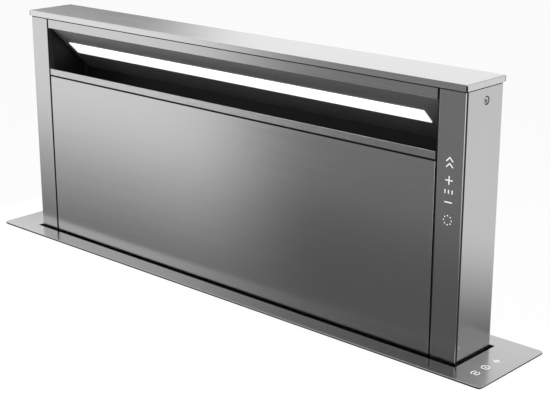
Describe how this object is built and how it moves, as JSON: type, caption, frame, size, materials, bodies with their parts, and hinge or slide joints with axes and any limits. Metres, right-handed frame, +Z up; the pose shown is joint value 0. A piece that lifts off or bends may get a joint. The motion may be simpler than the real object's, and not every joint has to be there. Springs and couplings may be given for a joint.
{
  "type": "downdraft vent",
  "caption": "Worktop downdraft vent: a flat steel mast with a lit air intake rises out of a slotted deck, with its lift, blower and duct spigot in a housing below.",
  "frame": {"origin": "centre of the worktop cut-out on the worktop's surface, which the deck's gasket rests on", "axes": "+Z up, the way the mast rises; -Y faces the cook; +X to the cook's right"},
  "size_m": [0.898, 0.3362, 1.0565],
  "materials": {
    "stainless": "fine vertical and horizontal brushing, satin",
    "galvanised": "zinc-coated sheet, faint spangle",
    "zinc_screw": "zinc-plated screws",
    "steel_shaft": "ground steel bar",
    "aluminium_profile": "extruded, natural",
    "aluminium_mesh": "expanded grease filter mesh",
    "cast_aluminium": "die cast, matt",
    "black_rubber": "matt",
    "toothed_belt": "moulded toothed belt",
    "light_cover": "opal light cover, lit",
    "white_print": "printed and back-lit touch symbols",
    "circuit_board": "green solder mask",
    "black_plastic": "moulded, fine texture",
    "grey_plastic": "moulded, fine texture",
    "motor_paint": "black enamel",
    "magnet": "ferrite magnet in a dark case"
  },
  "bodies": {
    "housing": {"deck_plate": "stainless", "deck_gasket": "black_rubber", "deck_touch_keys": "white_print", "deck_touch_board": "circuit_board", "deck_collar": "galvanised", "slot_seal": "black_rubber", "housing_front": "galvanised", "housing_rear": "galvanised", "housing_left_side": "galvanised", "housing_right_side": "galvanised", "housing_floor": "galvanised", "case_screws": "zinc_screw", "worktop_clamps": "galvanised", "clamp_screws": "zinc_screw", "floor_brackets": "galvanised", "guide_rails": "aluminium_profile", "lift_belts": "toothed_belt", "shaft_bearings": "cast_aluminium", "idler_brackets": "zinc_screw", "lift_gearbox": "cast_aluminium", "lift_motor": "motor_paint", "blower_scroll": "galvanised", "blower_back_plate": "galvanised", "blower_front_plate": "galvanised", "inlet_ring": "galvanised", "blower_motor": "cast_aluminium", "outlet_collar": "black_plastic", "flap_pins": "steel_shaft", "control_box": "galvanised", "control_box_cover": "galvanised", "power_board": "circuit_board", "cable_gland": "black_plastic"},
    "mast": {"cap_plate": "stainless", "left_column": "stainless", "right_column": "stainless", "side_screws": "zinc_screw", "header_rail": "stainless", "intake_lip": "stainless", "rear_panel": "stainless", "base_frame": "stainless", "grease_tray": "aluminium_profile", "light_canopy": "stainless", "light_channel": "aluminium_profile", "light_diffuser": "light_cover", "filter_frames": "aluminium_profile", "filter_meshes": "aluminium_mesh", "column_touch_keys": "white_print", "column_touch_board": "circuit_board", "panel_magnets": "magnet", "lift_carriages": "cast_aluminium", "guide_shoes": "grey_plastic"},
    "front_panel": {"front_panel": "stainless"},
    "lift_shaft": {"cross_shaft": "steel_shaft", "drive_pulleys": "cast_aluminium"},
    "left_idler": {"left_idler_pulley": "cast_aluminium"},
    "right_idler": {"right_idler_pulley": "cast_aluminium"},
    "impeller": {"impeller": "galvanised", "motor_shaft": "steel_shaft"},
    "front_flap": {"front_flap": "aluminium_profile"},
    "rear_flap": {"rear_flap": "aluminium_profile"}
  },
  "joints": [
    {"name": "mast_lift", "type": "slide", "parent": "housing", "child": "mast", "axis": [0, 0, 1], "range_m": [-0.338, 0]},
    {"name": "front_panel_pull", "type": "slide", "parent": "mast", "child": "front_panel", "axis": [0, -1, 0], "range_m": [0, 0.06]},
    {"name": "shaft_turn", "type": "hinge", "parent": "housing", "child": "lift_shaft", "pos_m": [0, 0.026, -0.68], "axis": [1, 0, 0], "range_deg": [0, 1520]},
    {"name": "left_idler_turn", "type": "hinge", "parent": "housing", "child": "left_idler", "pos_m": [-0.4025, 0.026, -0.045], "axis": [1, 0, 0], "range_deg": [0, 1520]},
    {"name": "right_idler_turn", "type": "hinge", "parent": "housing", "child": "right_idler", "pos_m": [0.4025, 0.026, -0.045], "axis": [1, 0, 0], "range_deg": [0, 1520]},
    {"name": "impeller_spin", "type": "hinge", "parent": "housing", "child": "impeller", "pos_m": [0, -0.13, -0.57], "axis": [0, 1, 0], "continuous": true},
    {"name": "front_flap_swing", "type": "hinge", "parent": "housing", "child": "front_flap", "pos_m": [-0.222, -0.135, -0.47], "axis": [0, 0, -1], "range_deg": [0, 65], "stiffness_Nm_per_rad": 0.01},
    {"name": "rear_flap_swing", "type": "hinge", "parent": "housing", "child": "rear_flap", "pos_m": [-0.222, -0.125, -0.47], "axis": [0, 0, 1], "range_deg": [0, 65], "stiffness_Nm_per_rad": 0.01}
  ],
  "couplings": [
    {"joint": "shaft_turn", "follows": "mast_lift", "rad_per_m": -78.431},
    {"joint": "left_idler_turn", "follows": "mast_lift", "rad_per_m": -78.431},
    {"joint": "right_idler_turn", "follows": "mast_lift", "rad_per_m": -78.431}
  ]
}
